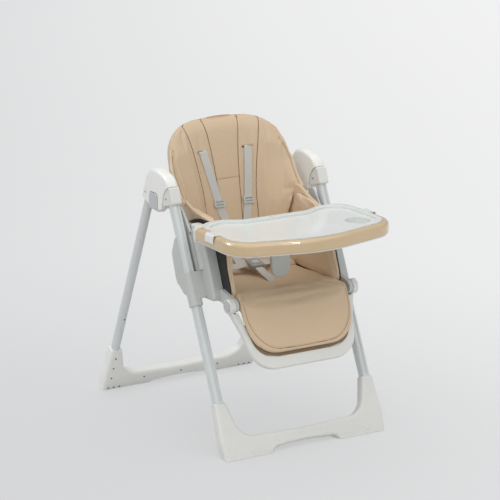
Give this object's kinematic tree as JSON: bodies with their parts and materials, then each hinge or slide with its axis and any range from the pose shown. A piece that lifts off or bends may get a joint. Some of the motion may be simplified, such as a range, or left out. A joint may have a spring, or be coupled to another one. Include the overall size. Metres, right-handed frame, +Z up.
{
  "type": "baby high chair",
  "caption": "Folding baby high chair: two splayed leg frames hinged at domed hubs, a padded bucket seat that slides up and down, a hinged leg rest and a removable tray.",
  "frame": {"origin": "middle of the footprint, on the floor", "axes": "+X to the sitter's left, -Y the way the sitter faces, +Z up"},
  "size_m": [0.5654, 0.918, 0.9104],
  "materials": {
    "white_plastic": "satin moulded, slightly warm white",
    "white_gloss": "glossy moulded white",
    "beige_gloss": "glossy moulded beige",
    "black_plastic": "fine-textured black",
    "grey_plastic": "satin mid grey",
    "tube_paint": "smooth pale powder coat on tube",
    "leatherette": "smooth tan leatherette",
    "webbing": "woven grey webbing",
    "rubber": "black anti-slip rubber",
    "steel": "zinc-plated screw steel"
  },
  "bodies": {
    "front_frame": {"front_base": "white_plastic", "front_leg_left": "tube_paint", "front_leg_right": "tube_paint", "hub_socket_left": "white_plastic", "hub_socket_right": "white_plastic", "hub_socket_screws": "steel", "front_base_screws": "steel", "front_pad_left": "rubber", "front_pad_right": "rubber"},
    "rear_frame": {"rear_base": "white_plastic", "rear_leg_left": "tube_paint", "rear_leg_right": "tube_paint", "hub_dome_left": "white_plastic", "hub_dome_right": "white_plastic", "hub_dome_screws": "steel", "hub_pins": "steel", "rear_base_screws": "steel", "rear_pad_left": "rubber", "rear_pad_right": "rubber"},
    "fold_button_left": {"fold_button_left": "grey_plastic"},
    "fold_button_right": {"fold_button_right": "grey_plastic"},
    "seat_carriage": {"slider_left": "white_plastic", "slider_right": "white_plastic", "side_panel_left": "white_plastic", "side_panel_right": "white_plastic", "seat_shell": "black_plastic", "seat_cushion": "leatherette", "wing_cushion_left": "leatherette", "wing_cushion_right": "leatherette", "lap_strap_left": "webbing", "lap_strap_right": "webbing", "crotch_strap": "webbing", "buckle": "grey_plastic", "leg_rest_pins": "steel"},
    "height_lever_left": {"height_lever_left": "grey_plastic"},
    "height_lever_right": {"height_lever_right": "grey_plastic"},
    "backrest": {"back_cushion": "leatherette", "back_shell": "white_plastic", "shoulder_strap_left": "webbing", "shoulder_strap_right": "webbing", "strap_adjuster_left": "grey_plastic", "strap_adjuster_right": "grey_plastic"},
    "recline_handle": {"recline_handle": "grey_plastic"},
    "leg_rest": {"leg_rest_frame": "white_plastic", "calf_board": "black_plastic", "calf_cushion": "leatherette"},
    "leg_rest_button_left": {"leg_rest_button_left": "grey_plastic"},
    "leg_rest_button_right": {"leg_rest_button_right": "grey_plastic"},
    "tray": {"tray_base": "white_plastic", "tray_rim": "beige_gloss", "crotch_post": "white_plastic"},
    "tray_latch": {"tray_latch": "grey_plastic"},
    "tray_insert": {"tray_insert": "white_gloss"},
    "buckle_button": {"buckle_button": "grey_plastic"}
  },
  "joints": [
    {"name": "fold", "type": "hinge", "parent": "front_frame", "child": "rear_frame", "pos_m": [0, 0.07855, 0.694], "axis": [-1, 0, 0], "range_deg": [0, 46]},
    {"name": "seat_height", "type": "slide", "parent": "front_frame", "child": "seat_carriage", "axis": [0, 0.421, 0.907], "range_m": [-0.2, 0.05]},
    {"name": "recline", "type": "hinge", "parent": "seat_carriage", "child": "backrest", "pos_m": [0, 0.05663, 0.4537], "axis": [-1, 0, 0], "range_deg": [0, 35]},
    {"name": "leg_rest_tilt", "type": "hinge", "parent": "seat_carriage", "child": "leg_rest", "pos_m": [0, -0.26145, 0.442], "axis": [-1, 0, 0], "range_deg": [0, 60]},
    {"name": "tray_slide", "type": "slide", "parent": "seat_carriage", "child": "tray", "axis": [0, -1, 0], "range_m": [0, 0.15]},
    {"name": "tray_insert_lift", "type": "slide", "parent": "tray", "child": "tray_insert", "axis": [0, 0, 1], "range_m": [0, 0.12]},
    {"name": "tray_latch_pull", "type": "slide", "parent": "tray", "child": "tray_latch", "axis": [0, -1, 0], "range_m": [0, 0.005], "stiffness_N_per_m": 600, "springref_m": -0.004},
    {"name": "recline_squeeze", "type": "slide", "parent": "backrest", "child": "recline_handle", "axis": [0, 0.2317, 0.9728], "range_m": [0, 0.006], "stiffness_N_per_m": 900, "springref_m": -0.004},
    {"name": "buckle_press", "type": "slide", "parent": "seat_carriage", "child": "buckle_button", "axis": [0, 0.2588, -0.9659], "range_m": [0, 0.0012], "stiffness_N_per_m": 900, "springref_m": -0.003},
    {"name": "fold_button_left_press", "type": "slide", "parent": "rear_frame", "child": "fold_button_left", "axis": [1, 0, 0], "range_m": [0, 0.004], "stiffness_N_per_m": 900, "springref_m": -0.003},
    {"name": "height_lever_left_squeeze", "type": "slide", "parent": "seat_carriage", "child": "height_lever_left", "axis": [0, -0.907, 0.421], "range_m": [0, 0.005], "stiffness_N_per_m": 900, "springref_m": -0.003},
    {"name": "leg_rest_button_left_press", "type": "slide", "parent": "leg_rest", "child": "leg_rest_button_left", "axis": [1, 0, 0], "range_m": [0, 0.003], "stiffness_N_per_m": 900, "springref_m": -0.003},
    {"name": "fold_button_right_press", "type": "slide", "parent": "rear_frame", "child": "fold_button_right", "axis": [-1, 0, 0], "range_m": [0, 0.004], "stiffness_N_per_m": 900, "springref_m": -0.003},
    {"name": "height_lever_right_squeeze", "type": "slide", "parent": "seat_carriage", "child": "height_lever_right", "axis": [0, -0.907, 0.421], "range_m": [0, 0.005], "stiffness_N_per_m": 900, "springref_m": -0.003},
    {"name": "leg_rest_button_right_press", "type": "slide", "parent": "leg_rest", "child": "leg_rest_button_right", "axis": [-1, 0, 0], "range_m": [0, 0.003], "stiffness_N_per_m": 900, "springref_m": -0.003}
  ]
}
